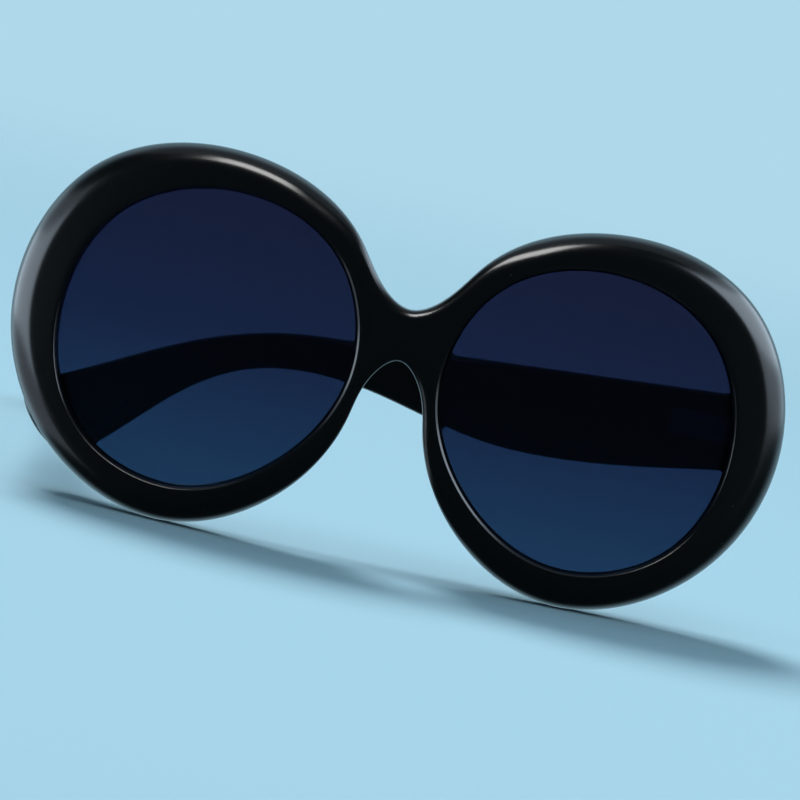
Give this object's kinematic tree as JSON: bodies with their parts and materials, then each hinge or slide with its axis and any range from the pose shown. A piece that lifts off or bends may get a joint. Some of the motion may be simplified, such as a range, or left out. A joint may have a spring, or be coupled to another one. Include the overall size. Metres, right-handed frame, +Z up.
{
  "type": "sunglasses",
  "caption": "Oversized round sunglasses: thick gloss black rims, gradient tinted lenses and broad temples that fold on pivot-screw hinges.",
  "frame": {"origin": "on the floor plane, straight below the foremost point of the bridge's middle", "axes": "-Y is the way the wearer looks, +X is the wearer's left, +Z is up; the glasses stand on both rims and the open temple's tip"},
  "size_m": [0.1578, 0.1663, 0.0759],
  "materials": {
    "frame_black": "polished",
    "pad_black": "satin",
    "lens_tint": "polished, tint darker at the top",
    "hinge_metal": "satin",
    "screw_steel": "bright",
    "core_wire": "drawn"
  },
  "bodies": {
    "front": {"front": "frame_black", "lens_left": "lens_tint", "nose_pad_left": "pad_black", "hinge_front_leaf_left": "hinge_metal", "hinge_pivot_screw_left": "screw_steel", "front_hinge_screws_left": "screw_steel", "lens_right": "lens_tint", "nose_pad_right": "pad_black", "hinge_front_leaf_right": "hinge_metal", "hinge_pivot_screw_right": "screw_steel", "front_hinge_screws_right": "screw_steel"},
    "temple_left": {"temple_left": "frame_black", "temple_core_left": "core_wire", "hinge_temple_leaf_left": "hinge_metal", "temple_hinge_screws_left": "screw_steel"},
    "temple_right": {"temple_right": "frame_black", "temple_core_right": "core_wire", "hinge_temple_leaf_right": "hinge_metal", "temple_hinge_screws_right": "screw_steel"}
  },
  "joints": [
    {"name": "temple_left_hinge", "type": "hinge", "parent": "front", "child": "temple_left", "pos_m": [0.0696, 0.02477, 0.04001], "axis": [0, -0.0535, -0.9986], "range_deg": [0, 93.2]},
    {"name": "temple_right_hinge", "type": "hinge", "parent": "front", "child": "temple_right", "pos_m": [-0.0696, 0.02477, 0.04001], "axis": [0, 0.0535, 0.9986], "range_deg": [-88, 0]}
  ]
}
